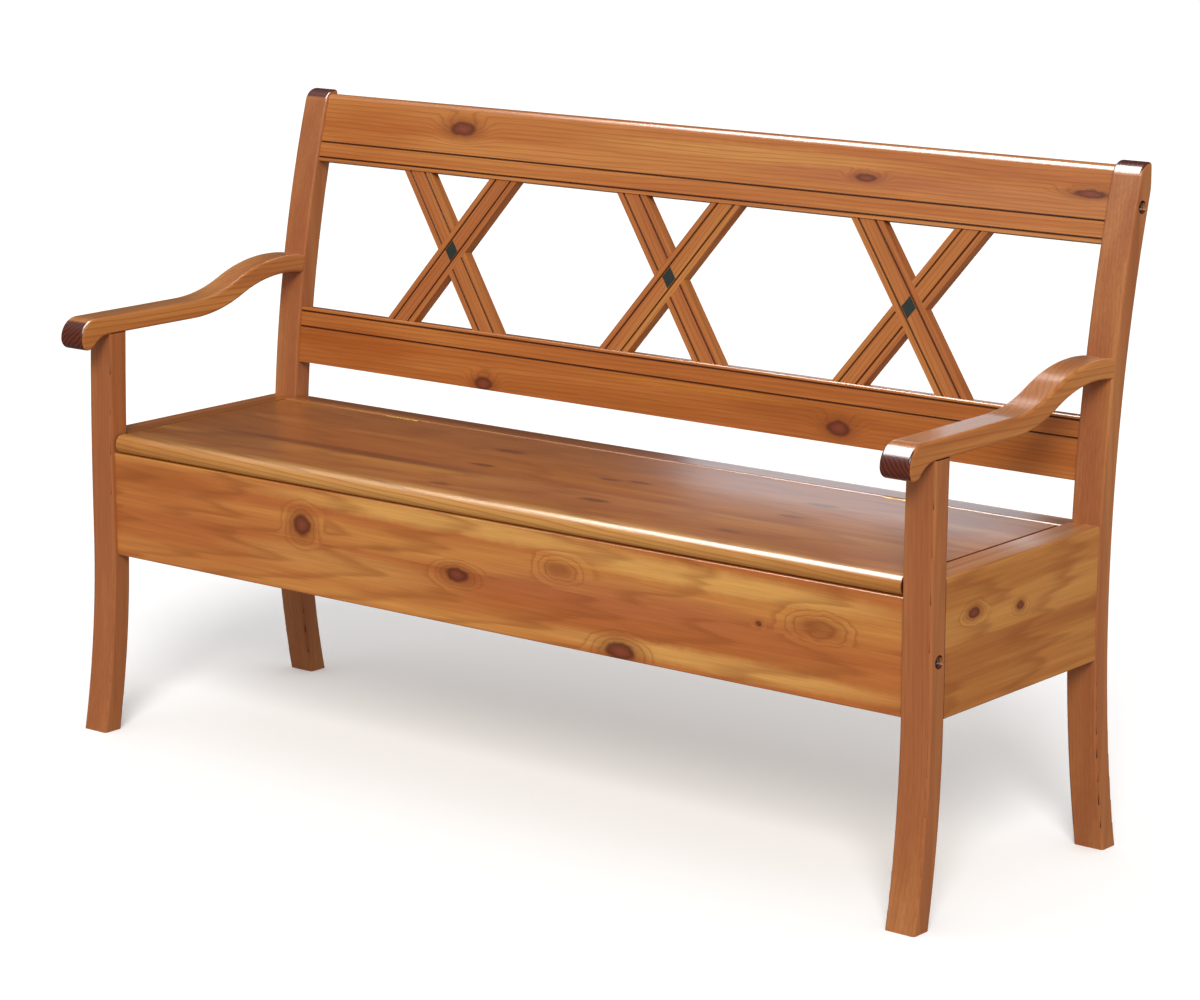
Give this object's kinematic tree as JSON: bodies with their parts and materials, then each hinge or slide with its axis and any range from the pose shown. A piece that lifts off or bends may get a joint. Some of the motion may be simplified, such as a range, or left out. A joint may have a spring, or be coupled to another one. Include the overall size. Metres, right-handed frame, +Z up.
{
  "type": "settle bench",
  "caption": "Pine settle bench with a lift-up seat over a storage box, scrolled arms, curved legs and a raked back with crossed braces.",
  "frame": {"origin": "on the floor, midway between the legs' outer faces and midway between the arms' noses and the back's rearmost edge", "axes": "+X along the bench to its right-hand end as seen from the front, +Y to the back, +Z up"},
  "size_m": [1.51, 0.555, 0.921],
  "materials": {
    "lacquered_pine": "satin",
    "birch_plywood": "matte",
    "beech_dowel": "matte",
    "stained_inlay": "satin",
    "zinc_plated_steel": "satin",
    "brassed_steel": "satin"
  },
  "bodies": {
    "frame": {"arm_dowels": "beech_dowel", "back_dowels": "beech_dowel", "barrel_nuts": "zinc_plated_steel", "box_dowels": "beech_dowel", "box_floor": "birch_plywood", "frame_bolts": "zinc_plated_steel", "front_apron": "lacquered_pine", "front_floor_cleat": "lacquered_pine", "left_armrest": "lacquered_pine", "left_cross_falling_slat": "lacquered_pine", "left_cross_rising_slat": "lacquered_pine", "left_diamond_inlay": "stained_inlay", "left_floor_cleat": "lacquered_pine", "left_front_leg": "lacquered_pine", "left_hinge_fixed_leaf": "brassed_steel", "left_hinge_pin": "brassed_steel", "left_lid_ledge": "lacquered_pine", "left_rear_post": "lacquered_pine", "left_seat_strip": "lacquered_pine", "left_side_panel": "lacquered_pine", "middle_cross_falling_slat": "lacquered_pine", "middle_cross_rising_slat": "lacquered_pine", "middle_diamond_inlay": "stained_inlay", "middle_rail": "lacquered_pine", "rear_floor_cleat": "lacquered_pine", "rear_ledge": "lacquered_pine", "rear_rail": "lacquered_pine", "rear_seat_strip": "lacquered_pine", "right_armrest": "lacquered_pine", "right_cross_falling_slat": "lacquered_pine", "right_cross_rising_slat": "lacquered_pine", "right_diamond_inlay": "stained_inlay", "right_floor_cleat": "lacquered_pine", "right_front_leg": "lacquered_pine", "right_hinge_fixed_leaf": "brassed_steel", "right_hinge_pin": "brassed_steel", "right_lid_ledge": "lacquered_pine", "right_rear_post": "lacquered_pine", "right_seat_strip": "lacquered_pine", "right_side_panel": "lacquered_pine", "top_rail": "lacquered_pine"},
    "lid": {"left_hinge_moving_leaf": "brassed_steel", "lid_batten_left": "lacquered_pine", "lid_batten_middle": "lacquered_pine", "lid_batten_right": "lacquered_pine", "lid_board": "lacquered_pine", "right_hinge_moving_leaf": "brassed_steel"}
  },
  "joints": [
    {"name": "lid_hinge", "type": "hinge", "parent": "frame", "child": "lid", "pos_m": [0, 0.1447, 0.4472], "axis": [-1, 0, 0], "range_deg": [0, 100]}
  ]
}
